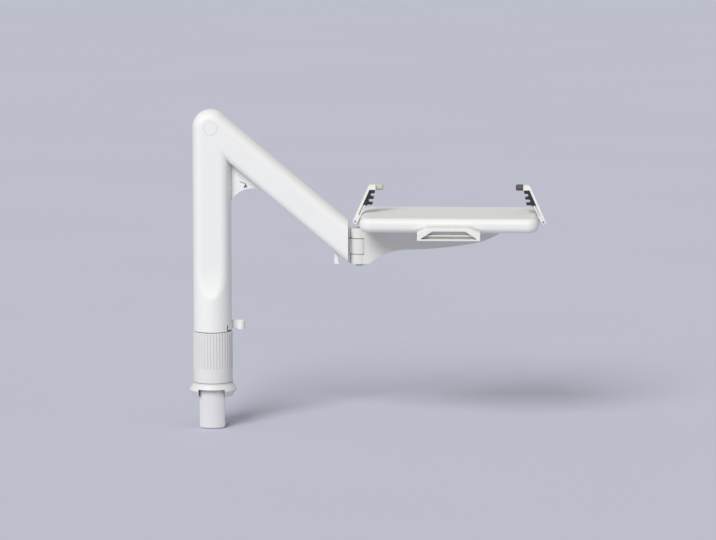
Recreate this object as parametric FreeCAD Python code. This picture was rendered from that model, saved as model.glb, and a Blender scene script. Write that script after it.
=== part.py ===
import FreeCAD, Part
import math
import os
from FreeCAD import Vector

# Phone holder arm that clamps to the edge of a board, in millimetres.
# Origin in the foot pad's plane below the column's axis, +Z up, +X along the arm, +Y along the jaw.

# Clearances
running_gap = 0.3          # between pieces that move past each other
pin_clearance = 0.05       # radial, turning fits
seat_clearance = 0.2       # between a moulding and the steel it is set over
seam_gap = 0.4             # between the two half shells

# Foot
foot_height = 20.0
foot_base_radius = 28.0
foot_flare = 6.0           # outside the collar
foot_flare_height = 9.5
foot_flare_round = 2.0
foot_lift = 0.5            # foot's rim stays this far above its pad's face
foot_pad_thickness = 2.0
foot_pad_margin = 3.0
foot_floor = 3.4           # below the post
foot_boss_rise = 8.0       # boss round the post, above the foot
foot_boss_wall = 3.3

# Post and its screw
post_radius = 9.0
post_wall = 3.0
post_plug = 10.0           # solid part above the screw
post_drop = 51.0           # top of the post below the bend's centre
post_chamfer = 1.0
post_screw_radius = 4.0
post_screw_length = 16.0
post_screw_socket = 2.8
screw_head_lip = 3.0
screw_head_height = 3.6
washer_thickness = 1.5
washer_lip = 1.5
washer_bore = 3.0

# Collar, a long hand nut
collar_wall = 3.2
collar_height = 72.0
collar_band_height = 20.0  # plain band below the flutes
collar_web = 6.0           # closed top round the post
collar_chamfer = 0.8
flute_count = 40
flute_radius = 1.25
flute_depth = 0.9

# Clamp leg with sleeve and jaw
leg_thickness = 11.3
leg_half_width = 18.0
leg_slot_clearance = 0.6
leg_corner_round = 4.0     # seen from the front
leg_edge_round = 2.5
notch_height = 12.0
sleeve_rise = 10.0         # above the foot
sleeve_height = 30.0
desk_thickness = 36.5
jaw_thickness = 6.0
jaw_reach = 30.0
jaw_tip_round = 10.0
jaw_pad_thickness = 2.0
jaw_pad_margin = 3.0

# Steel frame inside the shells
bush_wall = 2.75
bush_length = 20.0
bush_flange = 1.5
tube_wall = 2.2
tube_rise = 10.0           # above the bend's centre
bar_half_width = 10.0
bar_wall = 2.5

# Column and arm shells
column_gap = 1.0           # between collar and column
column_crown = 6.5         # round column outside its flat faces
bend_height = 381.0        # centre of the round bend
shell_wall = 2.6
flat_start = 47.5          # the flats run out this far above the column's lower end
flat_ramp = 42.0
runout_over = 1.4          # the run-out's curve is drawn past the column, in ramp lengths
arm_angle = 40.2           # degrees below the horizontal
arm_above = 25.0           # top and bottom edges from the bend's centre
arm_below = 20.8
arm_reach = 192.4          # end face from the column's axis
edge_round = 12.0          # between the flats and the round crown
arm_low_round = 9.5
rib_thickness = 3.0
low_rib_rise = 106.7       # above the column's lower end
high_rib_drop = 81.0       # below the bend's centre
near_rib_station = 85.0    # from the bend's centre along the arm
far_rib_setback = 81.9     # from the arm's end

# Gusset web under the bend
web_thickness = 7.0
web_skin = 1.0             # behind the pocket
web_drop = 104.0           # where the web leaves the column, below the bend's centre
web_arm_end = 50.0         # outside the column, where it meets the arm
web_bulge = 11.4
web_hole_width = 6.0
web_hole_height = 6.5
web_hole_back = 1.9
web_hole_rise = 1.6
web_slit_length = 9.0
web_slit_width = 0.8

# Bolt and caps at the bend
cap_radius = 9.2
cap_thickness = 2.2
cap_rise = 0.2
cap_round = 0.55
cap_floor = 1.1            # between the bolt's seat and the frame
cap_boss_wall = 2.8
bolt_radius = 3.0
bolt_head_radius = 5.5
bolt_head_height = 3.0

# Shell screws
shell_screw_radius = 1.5
shell_screw_head_radius = 2.9
shell_screw_head_height = 2.0
shell_screw_length = 22.0
shell_screw_seat = 10.25   # of the head, behind the seam
shell_boss_radius = 3.3
shell_boss_room = 0.5
low_screw_rise = 56.7      # above the column's lower end
high_screw_drop = 141.0    # below the bend's centre
near_screw_station = 110.0
far_screw_setback = 46.9

# Cable clips
clip_thickness = 1.8
clip_height = 12.0
clip_rise = 2.2            # above the column's lower end
clip_line = 4.0            # behind the seam plane
clip_out = 18.7            # outermost point from the column
clip_loop_radius = 6.0
clip_lip_length = 3.5
clip_root = 4.0
clip_slot_width = 1.2
clip_slot_inset = 5.5
clip_slot_height = 8.5
clip_edge_rise = 1.8       # lower edge of the column beside the slot
tab_inset = 17.1           # tab under the arm, from the end face
tab_width = 5.6
tab_half_depth = 5.0
tab_drop = 16.5
tab_lip = 2.0
tab_root = 1.5

# Swivel at the arm's end
end_gap = 1.6              # between the arm's end face and the barrel
barrel_radius = 14.0
barrel_height = 50.0
hinge_drop = 6.2           # middle of the barrel below the arm's middle
lug_height = 21.0
lug_tongue_length = 44.0
hinge_pin_radius = 5.0
hinge_washer = 1.0
hinge_washer_margin = 1.0
hinge_play = 0.25
pin_end = 3.5
pin_chamfer = 0.6
clip_ring_thickness = 1.2
clip_ring_lip = 3.0
lug_pin_radius = 2.0
lug_pin_setback = 35.9
lug_pin_pitch = 16.0

# Bracket under the tray
beam_half_width = 13.0
beam_wall = 3.0
beam_length = 206.0        # from the swivel axis
beam_step = 0.5            # underside above the barrel's lower end
beam_lift = 4.2            # inside of the beam's floor above its underside
beam_shoulder_length = 53.0
beam_shoulder_rise = 20.5
beam_shoulder_bulge = 5.0
beam_sag = 2.2
beam_tip_length = 42.0
beam_tip_depth = 21.0
beam_tip_bulge = 3.0
flange_half_width = 34.0
flange_thickness = 3.0
flange_setback = 30.0      # from the swivel axis
flange_round = 10.0
bracket_screw_radius = 2.0
bracket_screw_head_radius = 3.8
bracket_screw_head_height = 2.4
bracket_screw_length = 12.0
bracket_screw_inset = 14.0
bracket_screw_edge = 10.0

# Tray
tray_start = 2.0           # from the swivel axis
tray_width = 248.0
tray_depth = 158.0
tray_height = 20.0
tray_gap = 2.0             # above the barrel
tray_plan_round = 16.0
tray_edge_round = 8.5
tray_top_wall = 4.0
tray_rim = 10.0
tray_rib = 2.4
tray_boss_radius = 5.0
groove_width = 3.0
groove_depth = 2.5
groove_low = 9.0           # the groove ends this far above the tray's underside

# Rest at the tray's front
rest_half_base = 43.5
rest_half_top = 28.5
rest_shoulder = 7.0        # below the top
rest_height = 18.0
rest_drop = 9.7            # below the tray's top
rest_depth = 25.0
rest_side_wall = 5.5
rest_top_wall = 6.0
rest_floor = 2.5
rest_roof = 4.5
rest_sill = 1.0
rest_back_wall = 2.5
rest_recess = 9.0
rest_ledge_height = 6.3
rest_ledge_thickness = 1.6
rest_ledge_depth = 3.5
rest_edge_round = 1.2
rest_tongue_half_width = 36.0
rest_tongue_length = 24.0
rest_tongue_thickness = 3.0
rest_screw_edge = 10.0
rest_screw_setback = 8.0   # from the tongue's inner end

# Side arms with racks and pads
pivot_offset = 8.0         # outside the tray's end
pivot_height = 7.5         # above the tray's underside
pivot_pin_radius = 1.5
ear_half_width = 3.6
ear_rim = 0.1              # the strip's foot stands this far outside the ear
side_strip = 7.0
side_half_depth = 7.0
side_lean = 21.6           # inward, over the rise
side_rise = 48.3
side_head = 7.0
side_groove = 1.8
side_groove_depth = 2.6
side_groove_offset = 0.9
fork_length = 9.0
groove_margin = 1.5        # between the fork and the groove
rack_clear = 14.2          # above the tray's top
rack_inset = 3.6           # let into the strip
rack_foot_depth = 9.8      # inside the strip's inner face, at the rack's two ends
rack_top_depth = 3.6
notch_radius = 2.6
notch_depth = 4.5          # of the lowest notch's centre, inside the strip's inner face
notch_step = 0.75          # each higher notch lies this much less deep
notch_pitch = 8.4
notch_lead = 0.3           # lowest notch's centre above the rack's end, so that it opens downward too
notch_count = 3
pad_radius = 4.4
pad_length = 10.5
pad_round = 1.4
pad_peg_radius = 2.5
pad_peg_length = 5.0

# Radii that follow from these
post_bore_radius = post_radius - post_wall
washer_radius = post_radius + washer_lip
boss_radius = post_radius + foot_boss_wall
leg_back = boss_radius + running_gap + leg_slot_clearance
leg_radius = leg_back + leg_thickness
collar_bore = leg_radius + running_gap
collar_radius = collar_bore + collar_wall
foot_neck_radius = collar_radius + running_gap
foot_flare_radius = collar_radius + foot_flare
foot_pad_radius = foot_base_radius - foot_pad_margin
screw_head_radius = post_screw_radius + screw_head_lip
tube_bore_radius = post_radius + pin_clearance + bush_wall
tube_radius = tube_bore_radius + tube_wall
bolt_seat = tube_radius + seat_clearance + cap_floor
shell_half_depth = bolt_seat + bolt_head_height + cap_thickness
column_radius = shell_half_depth + column_crown
cap_boss_radius = cap_radius + cap_boss_wall
runout_radius = (flat_ramp ** 2 + column_crown ** 2) / (2 * column_crown)
crown_start = math.sqrt((column_radius - edge_round) ** 2 - (shell_half_depth - edge_round) ** 2)
crown_angle = math.atan2(shell_half_depth - edge_round, crown_start)
column_screw_side = (tube_radius + seat_clearance + column_radius - shell_wall) / 2
clip_ring_radius = hinge_pin_radius + clip_ring_lip
ear_radius = side_strip / 2 - ear_rim

# Heights that follow from these
post_seat_height = foot_pad_thickness + screw_head_height + foot_floor
collar_bottom = foot_height + running_gap
collar_top = collar_bottom + collar_height
column_bottom = collar_top + column_gap
sleeve_bottom = foot_height + sleeve_rise
flat_low_end = column_bottom + flat_start
post_top = bend_height - post_drop
frame_plate = post_top + washer_thickness + running_gap
tube_bottom = column_bottom + rib_thickness + bush_flange
jaw_top = -desk_thickness - jaw_pad_thickness
leg_bottom = jaw_top - jaw_thickness

# Arm and what hangs on it
arm_sin = math.sin(math.radians(arm_angle))
arm_cos = math.cos(math.radians(arm_angle))
arm_length = arm_reach / arm_cos
bend_axis = (arm_above - column_radius) / (1 + arm_sin)
arm_half_height = (arm_above + arm_below) / 2
bar_center = (arm_above - arm_below) / 2
bar_half_height = arm_half_height - shell_wall - shell_boss_room - 2 * shell_boss_radius - seat_clearance
bar_end = arm_reach - shell_wall - seat_clearance
lug_half_width = bar_half_width - bar_wall - seat_clearance
tab_station = arm_reach - tab_inset
hinge_reach = arm_reach + end_gap + barrel_radius
barrel_middle = bend_height + (bar_center - arm_sin * arm_reach) / arm_cos - hinge_drop
barrel_bottom = barrel_middle - barrel_height / 2
barrel_top = barrel_middle + barrel_height / 2
lug_bottom = barrel_middle - lug_height / 2
lug_top = barrel_middle + lug_height / 2
knuckle_gap = hinge_washer + hinge_play
beam_end = hinge_reach + beam_length
flange_start = hinge_reach + flange_setback
tray_bottom = barrel_top + tray_gap
tray_top = tray_bottom + tray_height
tray_half = tray_width / 2
tray_center = hinge_reach + tray_start + tray_half
tray_front = -tray_depth / 2
tray_edge = min(tray_edge_round, 0.45 * tray_height)
pivot_x = tray_center + tray_half + pivot_offset
pivot_z = tray_bottom + pivot_height
rack_start = tray_height - pivot_height + rack_clear
far = 2 * (bend_height + arm_reach + tray_width)   # longer than the whole object, for cutting planes
past = 1.0                 # cuts run this far past a face
near = 0.01                # what is this close to a plane lies in it


def block(x0, x1, y0, y1, z0, z1):
    """Box between two corners."""
    return Part.makeBox(x1 - x0, y1 - y0, z1 - z0, Vector(x0, y0, z0))


def rod(radius, z0, z1, x=0.0, y=0.0):
    """Upright cylinder."""
    return Part.makeCylinder(radius, z1 - z0, Vector(x, y, z0))


def cross_rod(radius, y0, y1, x, z):
    """Cylinder from front to back."""
    return Part.makeCylinder(radius, y1 - y0, Vector(x, y0, z), Vector(0, 1, 0))


def turned(points):
    """Solid of revolution about the column's axis from radius and height pairs."""
    corners = [Vector(r, 0, z) for r, z in points]
    outline = Part.makePolygon(corners + corners[:1])
    return Part.Face(outline).revolve(Vector(0, 0, 0), Vector(0, 0, 1), 360)


def slab(points, y0, y1):
    """Prism from front to back with a straight-sided outline of X and Z pairs."""
    corners = [Vector(x, y0, z) for x, z in points]
    outline = Part.makePolygon(corners + corners[:1])
    return Part.Face(outline).extrude(Vector(0, y1 - y0, 0))


def at(x, z):
    """Point of the middle plane."""
    return Vector(x, 0, z)


def edges_along(shape, direction):
    """Straight edges of a shape that run along a direction."""
    found = []
    for edge in shape.Edges:
        if edge.Curve.TypeId == "Part::GeomLine" and abs(edge.Curve.Direction.dot(direction)) > 0.999:
            found.append(edge)
    return found


def edges_at_height(shape, height):
    """Edges that lie in one horizontal plane."""
    return [e for e in shape.Edges if abs(e.BoundBox.ZMin - height) + abs(e.BoundBox.ZMax - height) < near]


def along_arm(shape):
    """Turn a shape built along +X at the origin to the arm's slope at the bend."""
    shape.rotate(Vector(0, 0, 0), Vector(0, 1, 0), arm_angle)
    shape.translate(Vector(0, 0, bend_height))
    return shape


def arm_point(station, height):
    """X and Z of a point at a station along the arm and a height across it."""
    return station * arm_cos + height * arm_sin, bend_height - station * arm_sin + height * arm_cos


def arm_edge_height(x, height):
    """Z of a line parallel to the arm, at a distance x from the column's axis."""
    return bend_height + (height - arm_sin * x) / arm_cos


def before(shape, x):
    """The part of a shape on the column's side of an upright plane."""
    return shape.common(block(-far, x, -far, far, -far, far))


def leg_section(clearance, z0, z1):
    """D-section of the leg, flat behind and round in front."""
    half = leg_half_width + clearance
    flat = block(-half, half, -far, -leg_back + clearance, z0, z1)
    return rod(leg_radius + clearance, z0, z1).common(flat)


def foot():
    body = turned([(0, foot_lift), (foot_base_radius, foot_lift), (foot_flare_radius, foot_flare_height),
                   (foot_neck_radius, foot_height - foot_flare_round), (foot_neck_radius, foot_height),
                   (0, foot_height)])
    body = body.makeFillet(foot_flare_round, edges_at_height(body, foot_flare_height))
    boss_top = foot_height + foot_boss_rise
    body = body.fuse(rod(boss_radius, foot_height - past, boss_top))
    slot = leg_section(leg_slot_clearance, 0, foot_height + past)
    half = leg_half_width + leg_slot_clearance
    notch = block(-half, half, -far, -leg_back + leg_slot_clearance, 0, notch_height)
    hollow = rod(post_radius, post_seat_height, boss_top)
    hollow = hollow.fuse(rod(post_screw_radius + seat_clearance, 0, post_seat_height))
    hollow = hollow.fuse(rod(screw_head_radius + seat_clearance, 0, foot_pad_thickness + screw_head_height))
    return body.cut(slot.fuse([notch, hollow, pad_outline(foot_lift - past, foot_pad_thickness)]))


def pad_outline(z0, z1):
    """Round pad cut straight behind the leg's slot."""
    behind = block(-far, far, -leg_back + 2 * leg_slot_clearance, far, z0, z1)
    return rod(foot_pad_radius, z0, z1).common(behind)


def foot_pad():
    return pad_outline(0, foot_pad_thickness)


def post():
    body = rod(post_radius, post_seat_height, post_top)
    body = body.makeChamfer(post_chamfer, edges_at_height(body, post_top))
    screw_end = post_seat_height + post_screw_length
    bore = rod(post_bore_radius, screw_end + post_plug, post_top)
    return body.cut(bore.fuse(rod(post_screw_radius, post_seat_height, screw_end)))


def post_screw():
    head_top = foot_pad_thickness + screw_head_height
    body = rod(screw_head_radius, foot_pad_thickness, head_top)
    body = body.fuse(rod(post_screw_radius, head_top, post_seat_height + post_screw_length))
    socket_end = foot_pad_thickness + screw_head_height / 2
    return body.cut(hex_rod(post_screw_socket, foot_pad_thickness, socket_end))


def hex_rod(radius, z0, z1):
    """Upright six-sided rod."""
    corners = [Vector(radius * math.cos(math.radians(60 * k)), radius * math.sin(math.radians(60 * k)), z0)
               for k in range(7)]
    return Part.Face(Part.makePolygon(corners)).extrude(Vector(0, 0, z1 - z0))


def thrust_washer():
    top = post_top + washer_thickness
    return rod(washer_radius, post_top, top).cut(rod(washer_bore, post_top, top))


def collar():
    hole = post_radius + running_gap
    body = turned([(collar_bore, collar_bottom), (collar_radius - collar_chamfer, collar_bottom),
                   (collar_radius, collar_bottom + collar_chamfer),
                   (collar_radius, collar_top - collar_chamfer),
                   (collar_radius - collar_chamfer, collar_top), (hole, collar_top),
                   (hole, collar_top - collar_web), (collar_bore, collar_top - collar_web)])
    low = collar_bottom + collar_band_height
    middle = collar_radius + flute_radius - flute_depth
    flute = rod(flute_radius, low, collar_top + past, 0, -middle)
    flute = flute.fuse(Part.makeSphere(flute_radius, Vector(0, -middle, low)))
    flutes = []
    for k in range(flute_count):
        turned_flute = flute.copy()
        turned_flute.rotate(Vector(0, 0, 0), Vector(0, 0, 1), 360.0 * k / flute_count)
        flutes.append(turned_flute)
    return body.cut(Part.makeCompound(flutes))


def clamp_leg():
    outline = block(-leg_half_width, leg_half_width, -far, far, leg_bottom, sleeve_bottom + past)
    low_edges = [e for e in edges_along(outline, Vector(0, 1, 0)) if e.BoundBox.ZMax < jaw_top]
    outline = outline.makeFillet(leg_corner_round, low_edges)
    leg = leg_section(0, leg_bottom, sleeve_bottom + past)
    sleeve_top = sleeve_bottom + sleeve_height
    sleeve = rod(leg_radius, sleeve_bottom, sleeve_top).cut(rod(leg_back, sleeve_bottom, sleeve_top))
    jaw = block(-leg_half_width, leg_half_width, -leg_back - past, jaw_reach, leg_bottom, jaw_top)
    tips = [e for e in edges_along(jaw, Vector(0, 0, 1)) if e.BoundBox.YMin > 0]
    jaw = jaw.makeFillet(jaw_tip_round, tips)
    body = leg.fuse(jaw).common(outline).fuse(sleeve).removeSplitter()
    rim = [e for e in body.Edges if e.BoundBox.YMax < -leg_back - past and e.BoundBox.ZMax < jaw_top]
    return body.makeFillet(leg_edge_round, rim)


def jaw_pad():
    half = leg_half_width - jaw_pad_margin
    body = block(-half, half, -leg_back + jaw_pad_margin, jaw_reach - jaw_pad_margin, jaw_top,
                 jaw_top + jaw_pad_thickness)
    return body.makeFillet(jaw_tip_round - jaw_pad_margin, edges_along(body, Vector(0, 0, 1)))


def runout_point(inset, share):
    """Depth and height of the run-out's curve, at a share of the ramp below its top."""
    drop = share * flat_ramp
    depth = runout_radius - math.sqrt(runout_radius ** 2 - drop ** 2)
    return shell_half_depth - inset + depth, flat_low_end + flat_ramp - drop


def flat_cutter(inset, side):
    """What lies outside the flat face of the column, with the hollow curve where the flat runs out."""
    shares = (0, runout_over / 2, runout_over)
    curve = [Vector(-far, side * y, z) for y, z in (runout_point(inset, share) for share in shares)]
    corners = [curve[2], Vector(-far, side * far, curve[2].z), Vector(-far, side * far, far),
               Vector(-far, curve[0].y, far), curve[0]]
    edges = [Part.Arc(*curve).toShape()]
    for a, b in zip(corners, corners[1:]):
        edges.append(Part.LineSegment(a, b).toShape())
    return Part.Face(Part.Wire(edges)).extrude(Vector(2 * far, 0, 0))


def column_form(inset, bottom):
    """Round column with a flat face in front and one behind, their edges softened."""
    body = rod(column_radius - inset, bottom, bend_height)
    body = body.cut(flat_cutter(inset, -1).fuse(flat_cutter(inset, 1)))
    least = shell_half_depth - inset - pin_clearance
    rims = [e for e in body.Edges if e.BoundBox.ZLength > past and abs(e.BoundBox.Center.y) > least]
    return body.makeFillet(edge_round - inset, rims)


def crown_points(inset):
    """Section of the crown as distances from its centre and depths, from one flat face to the other."""
    flat = shell_half_depth - inset
    edge = edge_round - inset
    crown = column_radius - inset
    half_turn = (crown_angle + math.pi / 2) / 2
    side = [(crown_start, flat),
            (crown_start + edge * math.cos(half_turn), flat - edge + edge * math.sin(half_turn)),
            (crown * math.cos(crown_angle), crown * math.sin(crown_angle))]
    return side + [(crown, 0)] + [(out, -depth) for out, depth in reversed(side)]


def section_face(crown, rest):
    """Face inside the crown's three arcs and the given edges that close it."""
    edges = [Part.Arc(*crown[k:k + 3]).toShape() for k in (0, 2, 4)]
    return Part.Face(Part.Wire(Part.__sortEdges__(edges + rest)))


def bend_form(inset):
    """Round bend: the column's left half turned about a cross axis, from the column over to the arm."""
    flat = shell_half_depth - inset
    crown = [Vector(-out, depth, bend_height) for out, depth in crown_points(inset)]
    corners = [crown[-1], Vector(bend_axis, -flat, bend_height), Vector(bend_axis, flat, bend_height),
               crown[0]]
    rest = [Part.LineSegment(a, b).toShape() for a, b in zip(corners, corners[1:])]
    return section_face(crown, rest).revolve(at(bend_axis, bend_height), Vector(0, 1, 0), 90 + arm_angle)


def arm_form(inset):
    """Arm with the bend's crown along its top and rounded lower edges, cut upright at its end."""
    flat = shell_half_depth - inset
    low = inset - arm_below
    corner = arm_low_round - inset
    spare = corner * (1 - math.cos(math.radians(45)))
    start = bend_axis * arm_cos
    crown = [Vector(start, depth, out + arm_above - column_radius) for out, depth in crown_points(inset)]
    rest = []
    for side in (-1, 1):
        high_end = crown[-1] if side < 0 else crown[0]
        curve = [Vector(start, side * flat, low + corner), Vector(start, side * (flat - spare), low + spare),
                 Vector(start, side * (flat - corner), low)]
        rest.append(Part.LineSegment(high_end, curve[0]).toShape())
        rest.append(Part.Arc(*curve).toShape())
    base = [Vector(start, side * (flat - corner), low) for side in (-1, 1)]
    rest.append(Part.LineSegment(*base).toShape())
    body = section_face(crown, rest).extrude(Vector(2 * arm_length, 0, 0))
    return before(along_arm(body), arm_reach - inset)


def shell_form(inset, bottom):
    """Column, round bend and arm as one solid, smaller all round by an inset."""
    return column_form(inset, bottom).fuse([bend_form(inset), arm_form(inset)]).removeSplitter()


def frame_form(clearance):
    """Outside of the steel frame, with room round it."""
    tube = rod(tube_radius + clearance, tube_bottom - clearance, bend_height + tube_rise + clearance)
    half = bar_half_width + clearance
    low = bar_center - bar_half_height - clearance
    high = bar_center + bar_half_height + clearance
    bar = along_arm(block(0, 2 * arm_length, -half, half, low, high))
    return tube.fuse(before(bar, bar_end + clearance))


def steel_frame():
    bore = rod(tube_bore_radius, tube_bottom, frame_plate)
    hollow = before(tongue_form(0, 2 * tube_radius), bar_end)
    body = frame_form(0).cut(bore.fuse(hollow))
    body = body.cut(cross_rod(bolt_radius, -far, far, 0, bend_height))
    return body.cut(lug_pins())


def tongue_form(clearance, start):
    """Inside of the frame's bar, less a clearance, from a station to past the end."""
    half = bar_half_width - bar_wall - clearance
    height = bar_half_height - bar_wall - clearance
    return along_arm(block(start, 2 * arm_length, -half, half, bar_center - height, bar_center + height))


def shell_ribs():
    """Ribs that hold the steel frame in the middle of the shells."""
    low_rib = column_bottom + low_rib_rise
    high_rib = bend_height - high_rib_drop
    ribs = []
    for z in (column_bottom, low_rib, high_rib):
        ribs.append(block(-far, column_radius, -far, far, z, z + rib_thickness))
    for station in (near_rib_station, arm_length - far_rib_setback):
        ribs.append(along_arm(block(station, station + rib_thickness, -far, far, -arm_below, arm_above)))
    return ribs


def screw_places():
    """X and Z of the four shell screws, two beside the column's tube and two beside the arm's bar."""
    places = [(-column_screw_side, column_bottom + low_screw_rise),
              (column_screw_side, bend_height - high_screw_drop)]
    beside = bar_half_height + seat_clearance + shell_boss_radius
    places.append(arm_point(near_screw_station, bar_center + beside))
    places.append(arm_point(arm_length - far_screw_setback, bar_center - beside))
    return places


def whole_shell():
    """Hollow column and arm with ribs and bosses, before it is parted into two halves."""
    inside = shell_form(shell_wall, column_bottom - past)
    additions = [rib.common(inside) for rib in shell_ribs()]
    for x, z in screw_places():
        additions.append(cross_rod(shell_boss_radius, -far, far, x, z).common(inside))
    additions.append(cross_rod(cap_boss_radius, -far, far, 0, bend_height).common(inside))
    body = shell_form(0, column_bottom).cut(inside).fuse(additions)
    body = body.cut(frame_form(seat_clearance))
    body = body.cut(rod(tube_radius + seat_clearance, 0, tube_bottom))
    for side in (-1, 1):
        body = body.cut(cap_recess(side))
    body = body.cut(lug_block(seat_clearance + running_gap))
    return body


def cap_recess(side):
    """Stepped recess for a cap and the bolt's head or nut, on the front or the back."""
    face = shell_half_depth
    cap = cross_rod(cap_radius + pin_clearance, face - cap_thickness, face + past, 0, bend_height)
    head = cross_rod(bolt_head_radius + seat_clearance, bolt_seat, face, 0, bend_height)
    recess = cap.fuse([head, cross_rod(bolt_radius, 0, face, 0, bend_height)])
    return recess if side > 0 else recess.mirror(Vector(0, 0, 0), Vector(0, 1, 0))


def front_shell(shell):
    half = shell.common(block(-far, far, -far, -seam_gap / 2, -far, far))
    end = shell_screw_length - shell_screw_seat
    for x, z in screw_places():
        half = half.cut(cross_rod(shell_screw_radius, -end, 0, x, z))
    side = column_radius - clip_slot_inset
    low = column_bottom - past
    slot = block(side, side + clip_slot_width, -far, 0, low, column_bottom + clip_slot_height)
    raised = block(side, far, -far, 0, low, column_bottom + clip_edge_rise)
    return half.cut(slot.fuse(raised)).cut(tab_slot())


def back_shell(shell):
    half = shell.common(block(-far, far, seam_gap / 2, far, -far, far))
    for x, z in screw_places():
        half = half.cut(cross_rod(shell_screw_radius + seat_clearance, 0, far, x, z))
        half = half.cut(cross_rod(shell_screw_head_radius + seat_clearance, shell_screw_seat, far, x, z))
    half = half.fuse(gusset_web())
    return half.cut(column_cable_clip(pin_clearance)).cut(tab_slot()).removeSplitter()


def bulged(start, end, bulge):
    """Point above the middle of a chord in the middle plane."""
    along = end - start
    across = Vector(-along.z, 0, along.x).normalize()
    return (start + end) * 0.5 + across * bulge


def gusset_web():
    """Web between column and arm, hollowed below, with a cable pocket and a slit to it."""
    root = shell_wall / 2
    end_x = column_radius + web_arm_end
    start = at(column_radius, bend_height - web_drop)
    end = at(end_x, arm_edge_height(end_x, -arm_below))
    inner = column_radius - root
    corner = at(inner, arm_edge_height(inner, -arm_below + root))
    tip = at(end_x + root, arm_edge_height(end_x + root, -arm_below + root))
    low = at(inner, bend_height - web_drop)
    crown = bulged(start, end, web_bulge)
    edges = [Part.Arc(start, crown, end).toShape(), Part.LineSegment(end, tip).toShape(),
             Part.LineSegment(tip, corner).toShape(), Part.LineSegment(corner, low).toShape(),
             Part.LineSegment(low, start).toShape()]
    web = Part.Face(Part.Wire(edges)).extrude(Vector(0, web_thickness, 0))
    web.translate(Vector(0, seam_gap / 2, 0))
    x = crown.x - web_hole_back
    z = crown.z + web_hole_rise
    depth = seam_gap / 2 + web_thickness - web_skin
    half = web_hole_width / 2
    hole = slab([(x - half, z), (x + half, z + web_slit_width), (x, z + web_hole_height)], 0, depth)
    slit = block(-web_slit_length, web_slit_width, 0, depth, -web_slit_width / 2, web_slit_width / 2)
    slit.rotate(Vector(0, 0, 0), Vector(0, 1, 0), arm_angle / 2)
    slit.translate(at(x, z + web_hole_height - web_slit_width))
    return web.cut(hole.fuse(slit))


def clip_band(start, grow):
    """Band of the column's cable clip: out behind, round the end and back in front."""
    bottom = column_bottom + clip_rise - grow
    height = clip_height + 2 * grow
    outer = clip_loop_radius
    inner = outer - clip_thickness
    turn = column_radius + clip_out - outer
    middle = clip_line + clip_thickness - outer
    back = block(start, turn, clip_line - grow, clip_line + clip_thickness + grow, bottom, bottom + height)
    ring = rod(outer, bottom, bottom + height, turn, middle)
    ring = ring.cut(rod(inner, bottom, bottom + height, turn, middle))
    bend = ring.common(block(turn, far, -far, far, -far, far))
    front = block(turn - clip_lip_length, turn, middle - outer, middle - inner, bottom, bottom + height)
    return back.fuse([bend, front]).removeSplitter()


def column_cable_clip(grow=0.0):
    """Clip with the head that holds its band inside the column, or its slot when grown."""
    start = column_radius - shell_wall - clip_root
    bottom = column_bottom + clip_rise - grow
    head = block(start - grow, start + clip_thickness + grow, clip_line - clip_thickness - grow,
                 clip_line + 2 * clip_thickness + grow, bottom, bottom + clip_height + 2 * grow)
    return clip_band(start, grow).fuse(head).removeSplitter()


def tab_outline(grow):
    """Hanging tab with a lip at its foot, in the arm's middle plane."""
    left = tab_station - tab_width / 2 - grow
    right = tab_station + tab_width / 2 + grow
    top_left = arm_edge_height(left, -arm_below + shell_wall + tab_root)
    top_right = arm_edge_height(right, -arm_below + shell_wall + tab_root)
    foot_z = arm_edge_height(tab_station, -arm_below) - tab_drop
    return [(left, top_left), (left, foot_z), (right + tab_lip, foot_z), (right, foot_z + 2 * tab_lip),
            (right, top_right)]


def arm_cable_clip():
    body = slab(tab_outline(0), -tab_half_depth, tab_half_depth)
    head = along_arm(block(0, 2 * tab_width, -tab_half_depth, tab_half_depth, 0, tab_root))
    x = tab_station - tab_width * arm_cos
    head.translate(Vector(x, 0, arm_edge_height(x, -arm_below + shell_wall) - bend_height))
    return body.fuse(head).removeSplitter()


def tab_slot():
    """Slot for the tab in the arm's lower wall."""
    half = tab_half_depth + pin_clearance
    return slab(tab_outline(pin_clearance), -half, half)


def bend_caps():
    """Two round caps, front and back."""
    face = shell_half_depth + cap_rise
    cap = cross_rod(cap_radius, face - cap_thickness, face, 0, bend_height)
    rim = [e for e in cap.Edges if e.BoundBox.YMin > face - pin_clearance]
    cap = cap.makeFillet(cap_round, rim)
    return Part.makeCompound([cap.mirror(Vector(0, 0, 0), Vector(0, 1, 0)), cap])


def bend_bolt():
    end = bolt_seat + bolt_head_height - running_gap
    head = cross_rod(bolt_head_radius, -end, -bolt_seat, 0, bend_height)
    return head.fuse(cross_rod(bolt_radius, -bolt_seat, end, 0, bend_height))


def bend_nut():
    nut = hex_rod(bolt_head_radius, bolt_seat, bolt_seat + bolt_head_height - running_gap)
    nut.rotate(Vector(0, 0, 0), Vector(1, 0, 0), -90)
    nut.translate(at(0, bend_height))
    return nut.cut(cross_rod(bolt_radius, 0, far, 0, bend_height))


def shell_screws():
    screws = []
    for x, z in screw_places():
        seat = shell_screw_seat
        head = cross_rod(shell_screw_head_radius, seat, seat + shell_screw_head_height, x, z)
        screws.append(head.fuse(cross_rod(shell_screw_radius, seat - shell_screw_length, seat, x, z)))
    return Part.makeCompound(screws)


def lower_bush():
    z = tube_bottom
    body = rod(tube_bore_radius, z, z + bush_length).fuse(rod(tube_radius, z - bush_flange, z))
    return body.cut(rod(post_radius + pin_clearance, z - bush_flange, z + bush_length))


def upper_bush():
    top = post_top - bush_length
    body = rod(tube_bore_radius, top - bush_length, top)
    return body.cut(rod(post_radius + pin_clearance, top - bush_length, top))


def lug_block(grow):
    """Straight neck of the hinge lug from the frame's end to the swivel axis."""
    half = lug_half_width + grow
    return block(bar_end + seat_clearance, hinge_reach, -half, half, lug_bottom - grow, lug_top + grow)


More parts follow.
